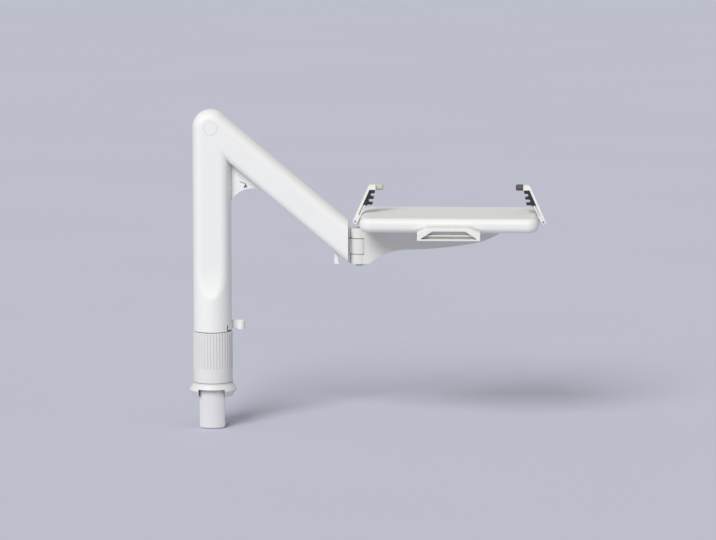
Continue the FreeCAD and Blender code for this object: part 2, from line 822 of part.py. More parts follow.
def hinge_lug():
    tongue = tongue_form(seat_clearance, lug_tongue_start())
    tongue = before(tongue, bar_end + seat_clearance)
    eye = rod(barrel_radius, lug_bottom, lug_top, hinge_reach)
    body = tongue.fuse([lug_block(0), eye]).removeSplitter()
    body = body.cut(rod(hinge_pin_radius + pin_clearance, 0, far, hinge_reach))
    return body.cut(lug_pins())


def lug_tongue_start():
    return bar_end / arm_cos - lug_tongue_length


def lug_pins():
    """Two cross pins through the frame's bar and the lug's tongue."""
    pins = []
    first = arm_length - lug_pin_setback
    for station in (first, first - lug_pin_pitch):
        x, z = arm_point(station, bar_center)
        pins.append(cross_rod(lug_pin_radius, -bar_half_width, bar_half_width, x, z))
    return Part.makeCompound(pins)


def hinge_pin():
    body = rod(hinge_pin_radius, barrel_bottom - pin_end, barrel_top, hinge_reach)
    return body.makeChamfer(pin_chamfer, edges_at_height(body, barrel_bottom - pin_end))


def hinge_clip():
    body = rod(clip_ring_radius, barrel_bottom - clip_ring_thickness, barrel_bottom, hinge_reach)
    return body.cut(rod(hinge_pin_radius, 0, far, hinge_reach))


def hinge_washers():
    """One washer above the lug's eye and one below."""
    ring = rod(barrel_radius - hinge_washer_margin, 0, hinge_washer, hinge_reach)
    ring = ring.cut(rod(hinge_pin_radius, 0, far, hinge_reach))
    upper = ring.copy()
    upper.translate(Vector(0, 0, lug_top + hinge_play))
    lower = ring.copy()
    lower.translate(Vector(0, 0, lug_bottom - knuckle_gap))
    return Part.makeCompound([lower, upper])


def beam_form(half):
    """Beam under the tray between two sides, seen from the side rising from the barrel's foot to the tip."""
    underside = barrel_bottom + beam_step
    low = at(hinge_reach + barrel_radius, underside)
    shoulder = at(low.x + beam_shoulder_length, underside + beam_shoulder_rise)
    rise = at(beam_end - beam_tip_length, tray_bottom - beam_tip_depth)
    end = at(beam_end, tray_bottom)
    corners = [end, at(hinge_reach, tray_bottom), at(hinge_reach, underside), low]
    edges = [Part.Arc(low, bulged(low, shoulder, beam_shoulder_bulge), shoulder).toShape(),
             Part.Arc(shoulder, bulged(shoulder, rise, -beam_sag), rise).toShape(),
             Part.Arc(rise, bulged(rise, end, -beam_tip_bulge), end).toShape()]
    edges += [Part.LineSegment(a, b).toShape() for a, b in zip(corners, corners[1:])]
    beam = Part.Face(Part.Wire(edges)).extrude(Vector(0, 2 * half, 0))
    beam.translate(Vector(0, -half, 0))
    return beam


def bracket_screw_places():
    low = flange_start + bracket_screw_inset
    high = beam_end - bracket_screw_inset
    side = flange_half_width - bracket_screw_edge
    return [(x, y) for x in (low, high) for y in (-side, side)]


def tray_bracket():
    beam = beam_form(beam_half_width)
    cap = block(hinge_reach - barrel_radius, hinge_reach + 2 * barrel_radius, -far, far, barrel_top, far)
    barrel = rod(barrel_radius, barrel_bottom, barrel_top, hinge_reach)
    flange = block(flange_start, beam_end, -flange_half_width, flange_half_width,
                   tray_bottom - flange_thickness, tray_bottom)
    flange = flange.makeFillet(flange_round, edges_along(flange, Vector(0, 0, 1)))
    body = beam.cut(cap).fuse([barrel, flange]).removeSplitter()
    hollow = beam_form(beam_half_width - beam_wall)
    hollow.translate(Vector(0, 0, beam_lift))
    start = hinge_reach + barrel_radius + running_gap + 2 * beam_wall
    hollow = hollow.common(block(start, far, -far, far, 0, far))
    gap = rod(barrel_radius + 2 * running_gap, lug_bottom - knuckle_gap, lug_top + knuckle_gap, hinge_reach)
    gap = gap.fuse(block(hinge_reach - 2 * barrel_radius, hinge_reach, -far, far, lug_bottom - knuckle_gap,
                         lug_top + knuckle_gap))
    body = body.cut(hollow.fuse([gap, rod(hinge_pin_radius, 0, far, hinge_reach)]))
    for x, y in bracket_screw_places():
        body = body.cut(rod(bracket_screw_radius, 0, far, x, y))
    return body


def bracket_screws():
    screws = []
    under = tray_bottom - flange_thickness
    for x, y in bracket_screw_places():
        head = rod(bracket_screw_head_radius, under - bracket_screw_head_height, under, x, y)
        screws.append(head.fuse(rod(bracket_screw_radius, under, under + bracket_screw_length, x, y)))
    return Part.makeCompound(screws)


def tray_form(inset):
    """Rounded slab of the tray, smaller all round by an inset."""
    body = block(tray_center - tray_half + inset, tray_center + tray_half - inset, tray_front + inset,
                 -tray_front - inset, tray_bottom + inset, tray_top - inset)
    body = body.makeFillet(tray_plan_round - inset, edges_along(body, Vector(0, 0, 1)))
    rims = edges_at_height(body, tray_bottom + inset) + edges_at_height(body, tray_top - inset)
    return body.makeFillet(tray_edge - inset, rims)


def tray_ear(side):
    """Ear for a side arm's pivot, in the middle of the tray's end."""
    x = tray_center + side * (tray_half + pivot_offset)
    inside = tray_center + side * (tray_half - tray_rim / 2)
    plate = block(min(x, inside), max(x, inside), -ear_half_width, ear_half_width, pivot_z - ear_radius,
                  pivot_z + ear_radius)
    return plate.fuse(cross_rod(ear_radius, -ear_half_width, ear_half_width, x, pivot_z))


def rest_screw_places():
    x = rest_tongue_half_width - rest_screw_edge
    y = tray_front + rest_tongue_length - rest_screw_setback
    return [(tray_center + side * x, y) for side in (-1, 1)]


def tray():
    body = tray_form(0)
    cavity = block(tray_center - tray_half + tray_rim, tray_center + tray_half - tray_rim,
                   tray_front + tray_rim, -tray_front - tray_rim,
                   tray_bottom - past, tray_top - tray_top_wall)
    cavity = cavity.makeFillet(tray_plan_round - tray_rim / 2, edges_along(cavity, Vector(0, 0, 1)))
    keep = [block(-far, far, y - tray_rib, y + tray_rib, tray_bottom, tray_top)
            for y in (-flange_half_width, flange_half_width)]
    for x in (flange_start, tray_center, beam_end):
        keep.append(block(x - tray_rib / 2, x + tray_rib / 2, -far, far, tray_bottom, tray_top))
    for x, y in bracket_screw_places() + rest_screw_places():
        keep.append(rod(tray_boss_radius, tray_bottom, tray_top, x, y))
    body = body.cut(cavity.cut(keep[0].fuse(keep[1:])))
    groove = block(-far, far, -groove_width / 2, groove_width / 2, tray_bottom + groove_low, far)
    body = body.cut(groove.cut(tray_form(groove_depth)))
    body = body.fuse([tray_ear(-1), tray_ear(1)]).removeSplitter()
    screw_end = tray_bottom + bracket_screw_length
    for x, y in bracket_screw_places():
        body = body.cut(rod(bracket_screw_radius, 0, screw_end - flange_thickness, x, y))
    for x, y in rest_screw_places():
        body = body.cut(rod(bracket_screw_radius, 0, screw_end - rest_tongue_thickness, x, y))
    for side in (-1, 1):
        x = tray_center + side * (tray_half + pivot_offset)
        body = body.cut(cross_rod(pivot_pin_radius, -far, far, x, pivot_z))
    return body


def rest_outline(half_base, half_top, low, side, high):
    """Trapezoid with upright lower sides, about the tray's middle."""
    points = [(-half_base, low), (-half_base, side), (-half_top, high), (half_top, high), (half_base, side),
              (half_base, low)]
    bottom = tray_top - rest_drop - rest_height
    return [(tray_center + x, bottom + z) for x, z in points]


def handset_rest():
    front = tray_front - rest_depth
    back = tray_front - running_gap
    shoulder = rest_height - rest_shoulder
    outer = slab(rest_outline(rest_half_base, rest_half_top, 0, shoulder, rest_height), front, back)
    outer = outer.makeFillet(rest_edge_round, [e for e in outer.Edges if e.BoundBox.YMax < front + near])
    inner_base = rest_half_base - rest_side_wall
    inner_top = rest_half_top - rest_top_wall
    sill = rest_floor + rest_sill
    roof = rest_height - rest_roof
    recess_outline = rest_outline(inner_base, inner_top, rest_floor, sill, roof)
    recess = slab(recess_outline, front - past, front + rest_recess)
    hollow_outline = rest_outline(inner_base, inner_top, -past, sill, roof)
    hollow = slab(hollow_outline, front + rest_recess + rest_back_wall, back - rest_back_wall)
    low = tray_top - rest_drop - rest_height + rest_ledge_height
    ledge = block(-far, far, front + rest_ledge_depth, tray_front, low, low + rest_ledge_thickness)
    body = outer.cut(recess.cut(ledge).fuse(hollow))
    tongue = block(tray_center - rest_tongue_half_width, tray_center + rest_tongue_half_width,
                   back - rest_back_wall, tray_front + rest_tongue_length,
                   tray_bottom - rest_tongue_thickness, tray_bottom)
    body = body.fuse(tongue).removeSplitter()
    for x, y in rest_screw_places():
        body = body.cut(rod(bracket_screw_radius, 0, far, x, y))
    return body


def rest_screws():
    screws = []
    under = tray_bottom - rest_tongue_thickness
    for x, y in rest_screw_places():
        head = rod(bracket_screw_head_radius, under - bracket_screw_head_height, under, x, y)
        screws.append(head.fuse(rod(bracket_screw_radius, under, under + bracket_screw_length, x, y)))
    return Part.makeCompound(screws)


def leaning(shape):
    """Lean an upright shape at the right pivot inward, as the side arm stands."""
    lean = math.degrees(math.atan2(side_lean, side_rise))
    shape.rotate(at(pivot_x, pivot_z), Vector(0, 1, 0), -lean)
    return shape


def lean_point(out, rise):
    """X and Z of a point of the leaning right side arm, given outward and along it from the pivot."""
    length = math.hypot(side_lean, side_rise)
    along_x = -side_lean / length
    along_z = side_rise / length
    return pivot_x + out * along_z + rise * along_x, pivot_z - out * along_x + rise * along_z


def rack_form():
    """Toothed strip before its notches, let into the side arm and ending under the head."""
    length = math.hypot(side_lean, side_rise)
    inner = -side_strip / 2
    points = [(inner + rack_inset, rack_start), (inner + rack_inset, length),
              (inner - rack_top_depth, length), (inner - rack_foot_depth, rack_start)]
    body = slab([lean_point(out, rise) for out, rise in points], -side_half_depth, side_half_depth)
    return body.common(block(-far, far, -far, far, 0, pivot_z + side_rise + inner))


def side_arm():
    """Right side arm: a leaning strip with a fork at its foot and a head that points inward."""
    half = side_strip / 2
    length = math.hypot(side_lean, side_rise)
    depth = side_half_depth
    strip = block(pivot_x - half, pivot_x + half, -depth, depth, pivot_z, pivot_z + length)
    middle = pivot_x - side_groove_offset
    for side in (-1, 1):
        inside = side * (depth - side_groove_depth)
        outside = side * depth
        groove = block(middle - side_groove / 2, middle + side_groove / 2, min(inside, outside),
                       max(inside, outside), pivot_z + fork_length + groove_margin, pivot_z + length - half)
        strip = strip.cut(groove)
    strip = leaning(strip)
    elbow_x = pivot_x - side_lean
    elbow_z = pivot_z + side_rise
    head = block(elbow_x - side_head, elbow_x, -depth, depth, elbow_z - half, elbow_z + half)
    foot_eye = cross_rod(half, -depth, depth, pivot_x, pivot_z)
    elbow = cross_rod(half, -depth, depth, elbow_x, elbow_z)
    body = strip.fuse([head, foot_eye, elbow]).removeSplitter()
    gap = ear_half_width + running_gap
    fork = leaning(block(pivot_x - far, pivot_x + far, -gap, gap, pivot_z - fork_length,
                         pivot_z + fork_length))
    body = body.cut(fork.fuse(cross_rod(pivot_pin_radius + pin_clearance, -far, far, pivot_x, pivot_z)))
    peg = Part.makeCylinder(pad_peg_radius, pad_peg_length, at(elbow_x - side_head, elbow_z), Vector(1, 0, 0))
    return body.cut(peg).cut(rack_form())


def rack():
    """Right toothed strip with round-ended notches that open inward."""
    body = rack_form()
    for k in range(notch_count):
        out = -side_strip / 2 - notch_depth + k * notch_step
        x, z = lean_point(out, rack_start + notch_lead + k * notch_pitch)
        mouth = block(x - rack_foot_depth, x, -far, far, z - notch_radius, z + notch_radius)
        body = body.cut(cross_rod(notch_radius, -far, far, x, z).fuse(mouth))
    return body


def grip_pad():
    """Right pad, a soft round tip on a peg in the side arm's head."""
    face = pivot_x - side_lean - side_head
    z = pivot_z + side_rise
    body = Part.makeCylinder(pad_radius, pad_length, at(face - pad_length, z), Vector(1, 0, 0))
    tip = [e for e in body.Edges if e.BoundBox.XMax < face - pad_length + near]
    body = body.makeFillet(pad_round, tip)
    return body.fuse(Part.makeCylinder(pad_peg_radius, pad_peg_length, at(face, z), Vector(1, 0, 0)))


def pivot_pin():
    return cross_rod(pivot_pin_radius, -side_half_depth, side_half_depth, pivot_x, pivot_z)


def mirrored(shape):
    """The same piece at the tray's left end."""
    return shape.mirror(Vector(tray_center, 0, 0), Vector(1, 0, 0))


def build():
    shell = whole_shell()
    nodes = {
        "foot": foot(),
        "foot_pad": foot_pad(),
        "post": post(),
        "post_screw": post_screw(),
        "thrust_washer": thrust_washer(),
        "collar": collar(),
        "clamp_leg": clamp_leg(),
        "jaw_pad": jaw_pad(),
        "front_shell": front_shell(shell),
        "back_shell": back_shell(shell),
        "steel_frame": steel_frame(),
        "lower_bush": lower_bush(),
        "upper_bush": upper_bush(),
        "bend_caps": bend_caps(),
        "bend_bolt": bend_bolt(),
        "bend_nut": bend_nut(),
        "shell_screws": shell_screws(),
        "column_cable_clip": column_cable_clip(),
        "arm_cable_clip": arm_cable_clip(),
        "hinge_lug": hinge_lug(),
        "lug_pins": lug_pins(),
        "hinge_pin": hinge_pin(),
        "hinge_clip": hinge_clip(),
        "hinge_washers": hinge_washers(),
        "tray_bracket": tray_bracket(),
        "bracket_screws": bracket_screws(),
        "tray": tray(),
        "handset_rest": handset_rest(),
        "rest_screws": rest_screws(),
    }
    for maker in (side_arm, rack, grip_pad, pivot_pin):
        right = maker()
        nodes["right_" + maker.__name__] = right
        nodes["left_" + maker.__name__] = mirrored(right)
    return nodes


os.makedirs("parts", exist_ok=True)
for name, shape in build().items():
    shape.exportStep("parts/" + name + ".step")
    print(name, len(shape.Solids), round(shape.Volume), shape.isValid())
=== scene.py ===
# %% [markdown]
# # A phone holder arm, dressed in Blender
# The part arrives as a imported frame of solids, with every node already in its place. This lesson gives each
# node the finish of the real thing, remakes the screws and the soft pads, and sets up light and camera.
# Loading the frame first matters, because everything after it is measured from the nodes.

# %% Load the frame
import bpy
import bmesh
import math
from mathutils import Matrix, Vector


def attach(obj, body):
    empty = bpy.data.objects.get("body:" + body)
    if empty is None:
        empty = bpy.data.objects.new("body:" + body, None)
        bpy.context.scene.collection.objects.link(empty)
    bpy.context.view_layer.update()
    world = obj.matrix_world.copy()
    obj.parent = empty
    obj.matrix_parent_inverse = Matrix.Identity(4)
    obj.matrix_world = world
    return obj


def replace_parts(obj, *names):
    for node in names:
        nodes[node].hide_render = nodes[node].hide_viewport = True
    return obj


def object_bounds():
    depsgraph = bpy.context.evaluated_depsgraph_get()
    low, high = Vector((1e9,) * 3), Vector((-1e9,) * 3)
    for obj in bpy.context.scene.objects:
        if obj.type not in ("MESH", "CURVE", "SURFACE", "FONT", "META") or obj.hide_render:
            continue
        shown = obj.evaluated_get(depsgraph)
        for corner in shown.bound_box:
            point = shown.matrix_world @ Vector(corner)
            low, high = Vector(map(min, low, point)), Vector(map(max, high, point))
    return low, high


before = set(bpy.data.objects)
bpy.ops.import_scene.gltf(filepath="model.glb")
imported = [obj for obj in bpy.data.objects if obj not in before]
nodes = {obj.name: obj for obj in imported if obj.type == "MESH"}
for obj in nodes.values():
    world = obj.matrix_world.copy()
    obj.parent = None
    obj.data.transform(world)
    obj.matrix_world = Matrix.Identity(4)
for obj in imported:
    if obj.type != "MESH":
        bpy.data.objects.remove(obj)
cad_low, cad_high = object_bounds()
MM = 0.001
print("nodes:", len(nodes), "box in mm:", [round(v / MM) for v in cad_high - cad_low])

# %% [markdown]
# ## Camera
# The arm was photographed from a few metres away with a long lens, from slightly above and a little to the
# right. A wide lens close by would show the same outline in the middle but splay the column's foot, so a long
# lens at the measured distance is used, tilted down and with no shift.

# %% Camera
image_width_px = 716
focal_length_px = 3225.0
camera_place_mm = (373, -4500, 788)
tilt_down = math.radians(7.69)
turn_left = math.radians(2.13)


def add_object(name, data):
    """A new object in the scene, at the origin."""
    thing = bpy.data.objects.new(name, data)
    bpy.context.scene.collection.objects.link(thing)
    return thing


camera_data = bpy.data.cameras.new("long_lens")
camera_data.sensor_fit = "HORIZONTAL"
camera_data.sensor_width = 36.0
camera_data.lens = focal_length_px * camera_data.sensor_width / image_width_px
camera = add_object("long_lens", camera_data)
camera.location = [v * MM for v in camera_place_mm]
camera.rotation_euler = (math.radians(90) - tilt_down, 0, turn_left)
bpy.context.scene.camera = camera
print("lens in mm:", round(camera_data.lens, 1))

# %% [markdown]
# ## Adding nodes
# Every finish below is a small node tree. Typing each node out takes four or five lines, so one helper adds a
# node, sets its properties and fills its inputs, with a value or with a link from another node's socket.
# Colours are written as the hex values a paint chart shows, and one function turns them to linear light.

# %% Adding nodes
def linear(hex_code):
    """Linear RGBA from an sRGB hex value."""
    channels = [int(hex_code[i:i + 2], 16) / 255 for i in (1, 3, 5)]
    return [c / 12.92 if c <= 0.04045 else ((c + 0.055) / 1.055) ** 2.4 for c in channels] + [1.0]


def fill_inputs(tree, node, inputs):
    """Fill a node's inputs with values, or with links where a socket is given."""
    for name, value in inputs.items():
        if isinstance(value, bpy.types.NodeSocket):
            tree.links.new(value, node.inputs[name])
        else:
            node.inputs[name].default_value = value


def add_node(tree, kind, inputs=None, **settings):
    """Add a node, set its properties and fill its inputs."""
    node = tree.nodes.new(kind)
    for name, value in settings.items():
        setattr(node, name, value)
    fill_inputs(tree, node, inputs or {})
    return node


def new_material(name):
    """An empty material with its shader, its output and the object's own coordinates."""
    material = bpy.data.materials.new(name)
    material.use_nodes = True
    tree = material.node_tree
    tree.nodes.clear()
    shader = add_node(tree, "ShaderNodeBsdfPrincipled")
    add_node(tree, "ShaderNodeOutputMaterial", {"Surface": shader.outputs["BSDF"]})
    place = add_node(tree, "ShaderNodeTexCoord").outputs["Object"]
    return material, tree, shader, place


shell_white = "#EFEFEC"
print("white of the shells in linear light:", [round(v, 3) for v in linear(shell_white)[:3]])

# %% [markdown]
# ## Steps that come back in every finish
# A noise of some grain size, a value carried from one range to another, a blend of two colours: each finish
# is put together from these. A node group could hold them too, but a function that adds the node and hands
# back the socket for the next step is shorter, and it can be read in place.

# %% Noise, ranges and blends
def noise(tree, place, size_mm, detail):
    """Noise with features of a size in millimetres."""
    scale = 1 / (size_mm * MM)
    node = add_node(tree, "ShaderNodeTexNoise", {"Vector": place, "Scale": scale, "Detail": detail})
    return node.outputs["Fac"]


def carry(tree, value, start, end):
    """A value carried from one range to another and held at the ends."""
    ranges = {"From Min": start[0], "From Max": start[1], "To Min": end[0], "To Max": end[1]}
    return add_node(tree, "ShaderNodeMapRange", {"Value": value, **ranges}).outputs["Result"]


def blend(tree, factor, first, second):
    """A blend of two colours."""
    # a Mix node keeps its colour sockets at places 6 and 7, and its colour result at 2
    node = add_node(tree, "ShaderNodeMix", {"Factor": factor, 6: first, 7: second}, data_type="RGBA")
    return node.outputs[2]


# %% [markdown]
# ## Corners, edges and bumps
# Painted shade in the hollows, mixed with a little dust, and wear on the edges follow the shape, and Blender
# can ask the shape while it renders. Ambient occlusion tells how open a place is, and the Bevel node turns
# the normal softly over an edge. Modelled rounds on every solid would need many small faces, while these two
# need none.

# %% Corners, edges and bumps
def openness(tree, reach_mm):
    """How open the surface is, 1 in the open and less where other surfaces are near."""
    return add_node(tree, "ShaderNodeAmbientOcclusion", {"Distance": reach_mm * MM}, samples=4).outputs["AO"]


def rounded_normal(tree, radius_mm):
    """The surface's normal, turning softly over sharp edges."""
    return add_node(tree, "ShaderNodeBevel", {"Radius": radius_mm * MM}, samples=4).outputs["Normal"]


def bump(tree, height, normal, strength, depth_mm):
    """A normal that is tilted by a height pattern."""
    pattern = {"Height": height, "Normal": normal, "Strength": strength, "Distance": depth_mm * MM}
    return add_node(tree, "ShaderNodeBump", pattern).outputs["Normal"]


# %% [markdown]
# ## Moulded plastic
# The shells, tray and collar are ABS, moulded in a tool whose steel was spark eroded, so the skin is satin
# with a very fine grain. Years of use leave it a touch warmer in places, and hands polish the edges. Shade
# is painted darker into the gaps, with a little dust in it. A plain white shader would look like plaster, so
# the tree has four parts: a slow drift of colour, painted shade with dust where the surface is hemmed in,
# shine along rubbed edges, and the grain as a bump.

# %% Moulded plastic
def moulded_plastic(name, colour, warm_colour, shade_and_dust_colour, roughness, grain_mm, edge_mm):
    """Satin moulding with drifting colour, painted shade and dust in hollows, rubbed edges and a fine grain.
    """
    material, tree, shader, place = new_material(name)
    drift = noise(tree, place, size_mm=70, detail=3.0)
    tone = blend(tree, drift, linear(colour), linear(warm_colour))
    # painted shade, speckled with a little dust, darkens where less than the open half space is in view
    painted_shade_and_dust = carry(tree, openness(tree, reach_mm=5), start=(0.55, 0.95), end=(0.55, 0.0))
    speckle = noise(tree, place, size_mm=3, detail=4.0)
    amount = add_node(tree, "ShaderNodeMath", {0: painted_shade_and_dust, 1: speckle}, operation="MULTIPLY")
    skin = blend(tree, amount.outputs[0], tone, linear(shade_and_dust_colour))
    # an edge is where the rounded normal turns away from the true one
    rounded = rounded_normal(tree, edge_mm)
    true_normal = add_node(tree, "ShaderNodeNewGeometry").outputs["Normal"]
    alike = add_node(tree, "ShaderNodeVectorMath", {0: rounded, 1: true_normal}, operation="DOT_PRODUCT")
    rubbed = carry(tree, alike.outputs["Value"], start=(0.7, 1.0), end=(0.14, 0.0))
    cloud = noise(tree, place, size_mm=9, detail=2.0)
    satin = carry(tree, cloud, start=(0.3, 0.7), end=(roughness - 0.05, roughness + 0.05))
    polish = add_node(tree, "ShaderNodeMath", {0: satin, 1: rubbed}, operation="SUBTRACT")
    grain = noise(tree, place, size_mm=grain_mm, detail=2.0)
    fill_inputs(tree, shader, {
        "Base Color": skin,
        "Roughness": polish.outputs[0],
        "Normal": bump(tree, grain, rounded, strength=0.12, depth_mm=0.05),
        "IOR": 1.54,
    })
    return material


# %% Plastics of the part
# the third colour of each plastic is the painted shade, with a little dust, in its hollows
shell_abs = moulded_plastic("off_white_ABS_moulded_satin", shell_white, "#EEEEE9", "#B9B6AE",
                            roughness=0.58, grain_mm=0.7, edge_mm=0.6)
clamp_abs = moulded_plastic("warm_white_ABS_moulded_satin", "#E3E3E2", "#E1E0DD", "#B3AFA6",
                            roughness=0.45, grain_mm=0.8, edge_mm=0.5)
tray_abs = moulded_plastic("white_ABS_moulded_fine_grain", "#EDEDEA", "#EAEAE5", "#B6B2A8",
                           roughness=0.54, grain_mm=0.9, edge_mm=0.6)
rack_plastic = moulded_plastic("black_nylon_moulded_matt", "#1B1C1E", "#232427", "#4A4945",
                               roughness=0.5, grain_mm=0.6, edge_mm=0.4)
bush_plastic = moulded_plastic("natural_acetal_turned", "#DAD7CC", "#D3CFC2", "#A8A293",
                               roughness=0.4, grain_mm=0.5, edge_mm=0.3)
print("plastics:", [m.name for m in (shell_abs, clamp_abs, tray_abs, rack_plastic, bush_plastic)])

# %% [markdown]
# ## Painted castings
# The leg with its jaw and the bracket under the tray are castings with a stoved paint. Paint levels itself
# before it dries and leaves soft waves a few millimetres apart, like orange peel, so its bump is coarser and
# shallower than a moulding's grain, and its gloss is a little higher. The leg's white is cooler than the
# plastic.

# %% Painted castings
def stoved_paint(name, colour, thin_colour, roughness, peel_mm):
    """Levelled paint with soft waves, and painted shade with a little dust in the corners."""
    material, tree, shader, place = new_material(name)
    drift = noise(tree, place, size_mm=40, detail=3.0)
    tone = blend(tree, drift, linear(colour), linear(thin_colour))
    # painted shade with a little dust: corners darken towards grey where less of the open space is in view
    painted_shade_and_dust = carry(tree, openness(tree, reach_mm=4), start=(0.5, 0.95), end=(0.35, 0.0))
    rounded = rounded_normal(tree, radius_mm=0.7)
    peel = noise(tree, place, size_mm=peel_mm, detail=1.0)
    fill_inputs(tree, shader, {
        "Base Color": blend(tree, painted_shade_and_dust, tone, linear("#A9A8A6")),
        "Roughness": carry(tree, drift, start=(0.3, 0.7), end=(roughness - 0.04, roughness + 0.05)),
        "Normal": bump(tree, peel, rounded, strength=0.1, depth_mm=0.06),
        "IOR": 1.5,
    })
    return material


leg_paint = stoved_paint("cool_white_stoved_paint_on_casting", "#E1E0DF", "#DDDCDC",
                         roughness=0.36, peel_mm=2.5)
bracket_paint = stoved_paint("warm_white_stoved_paint_on_casting", "#E6E5E1", "#E1DFD9",
                             roughness=0.4, peel_mm=2.5)
print("paints:", leg_paint.name, bracket_paint.name)

# %% [markdown]
# ## Rubber
# The pads at the side holders' tops are soft moulded rubber of one cream colour. The right pad is given a
# darker, brownish copy of it as painted shade, and the clamp's pads are black. Rubber scatters light evenly
# and keeps lint, so it is rough, with a mottled colour and a fine pitted bump.

# %% Rubber
def soft_rubber(name, colour, worn_colour, roughness):
    """Rough rubber with a mottled colour and fine pits."""
    material, tree, shader, place = new_material(name)
    mottle = noise(tree, place, size_mm=4, detail=5.0)
    spread = carry(tree, mottle, start=(0.35, 0.65), end=(0.0, 1.0))
    rounded = rounded_normal(tree, radius_mm=0.5)
    pits = noise(tree, place, size_mm=0.5, detail=2.0)
    fill_inputs(tree, shader, {
        "Base Color": blend(tree, spread, linear(colour), linear(worn_colour)),
        "Roughness": carry(tree, mottle, start=(0.0, 1.0), end=(roughness - 0.1, roughness + 0.1)),
        "Normal": bump(tree, pits, rounded, strength=0.25, depth_mm=0.06),
        "IOR": 1.52,
    })
    return material


cream_rubber = soft_rubber("cream_rubber_moulded", "#C6C9BB", "#B9BCAD", roughness=0.7)
# the right pad's rubber is the cream one painted darker and browner, as painted shade
cream_rubber_in_painted_shade = soft_rubber("cream_rubber_painted_in_shade", "#625854", "#544B47", roughness=0.7)
black_rubber = soft_rubber("black_rubber_sheet", "#232323", "#2E2D2B", roughness=0.75)
print("rubbers:", cream_rubber.name, cream_rubber_in_painted_shade.name, black_rubber.name)

# %% [markdown]
# ## Steel
# The post, pins and screws are turned steel with a thin zinc coat. The lathe leaves fine rings, which stretch
# the highlight, and the coat is a little cloudy. Metal has no colour under its gloss, so the base colour is
# the colour of the reflection itself.

# %% Steel
def zinc_steel(name, colour, cloudy_colour):
    """Turned steel under a cloudy zinc coat."""
    material, tree, shader, place = new_material(name)
    cloud = noise(tree, place, size_mm=6, detail=4.0)
    # lathe rings are closer than a pixel, so they are drawn half a millimetre apart
    flat = add_node(tree, "ShaderNodeMapping", {"Vector": place, "Scale": (0.02, 0.02, 1.0)})
    rings = noise(tree, flat.outputs["Vector"], size_mm=0.5, detail=2.0)
    turned = add_node(tree, "ShaderNodeBump", {"Height": rings, "Strength": 0.15, "Distance": 0.02 * MM})
    fill_inputs(tree, shader, {
        "Base Color": blend(tree, cloud, linear(colour), linear(cloudy_colour)),
        "Roughness": carry(tree, cloud, start=(0.0, 1.0), end=(0.25, 0.42)),
        "Normal": turned.outputs["Normal"],
        "Metallic": 1.0,
    })
    return material


bright_zinc = zinc_steel("zinc_plated_steel_turned", "#C6C8CA", "#B4B5B6")
print("steel:", bright_zinc.name)

# %% [markdown]
# ## Where each solid stands
# A node such as the four shell screws is one mesh with several separate solids. To remake them, each one's
# place and size are needed, and the mesh itself tells: points that are joined by edges belong together, so
# the search walks from point to point until a solid is used up, then starts on the next.

# %% Boxes of the solids
merge_distance = 0.001 * MM


def solid_boxes(node):
    """Lowest and highest corner of each separate solid of a node."""
    shape = bmesh.new()
    shape.from_mesh(node.data)
    bmesh.ops.remove_doubles(shape, verts=shape.verts, dist=merge_distance)
    waiting = set(shape.verts)
    boxes = []
    while waiting:
        to_visit = [waiting.pop()]
        points = []
        while to_visit:
            vertex = to_visit.pop()
            points.append(vertex.co.copy())
            joined = {edge.other_vert(vertex) for edge in vertex.link_edges} & waiting
            waiting -= joined
            to_visit.extend(joined)
        boxes.append([Vector([pick(p[axis] for p in points) for axis in range(3)]) for pick in (min, max)])
    shape.free()
    # a set has no order of its own, so the solids are put in order by their places
    return sorted(boxes, key=lambda box: box[0][:])


print("shell screws:", len(solid_boxes(nodes["shell_screws"])))

# %% [markdown]
# ## Turned shapes
# Screws and pads are both round about an axis. A full spin of a profile would do, but it leaves a pinched fan
# of triangles at each end. Here a disc's rim is extruded ring by ring down the outline, as a lathe tool would
# follow it, so the end stays one clean face that can carry other cuts.

# %% Turned shapes
def grow_rings(shape, radius, rings):
    """Extrude a disc's open rim through rings of radius and depth, and close the last."""
    rim = [e for e in shape.edges if e.is_boundary]
    depth = 0.0
    for next_radius, next_depth in rings:
        grown = bmesh.ops.extrude_edge_only(shape, edges=rim)["geom"]
        points = [v for v in grown if isinstance(v, bmesh.types.BMVert)]
        bmesh.ops.scale(shape, verts=points, vec=(next_radius / radius, next_radius / radius, 1))
        bmesh.ops.translate(shape, verts=points, vec=(0, 0, depth - next_depth))
        rim = [e for e in grown if isinstance(e, bmesh.types.BMEdge)]
        radius, depth = next_radius, next_depth
    bmesh.ops.contextual_create(shape, geom=rim)
    bmesh.ops.recalc_face_normals(shape, faces=shape.faces)


# %% [markdown]
# ## From shape to piece
# A bmesh is only a workbench. To show, a shape becomes a mesh, shaded smooth with its corners left sharp, and
# the mesh becomes an object.

# %% From shape to piece
sharp_above = math.radians(35)


def smooth_mesh(shape, name):
    """Mesh of a finished shape, shaded smooth but for its corners."""
    mesh = bpy.data.meshes.new(name)
    shape.to_mesh(mesh)
    shape.free()
    mesh.shade_smooth()
    mesh.set_sharp_from_angle(angle=sharp_above)
    return mesh


def place_piece(name, mesh, material, body, node_name):
    """Put a mesh in the scene in place of a node, to move with the node's body."""
    piece = add_object(name, mesh)
    piece.data.materials.append(material)
    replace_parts(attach(piece, body), node_name)
    print(name, "faces:", len(mesh.polygons))


# %% [markdown]
# ## Screws with a cross recess
# The tray and the rest at its front are held from below by pan-head screws, and the shells from behind. The
# solids are plain headed pins, and a driver needs its cross, so each screw is remade over the solid it stands
# for. The flat of the head is a disc, cut by planes into the arms of a cross, and the arms are pressed in
# with a taper, because a tapered driver centres itself.

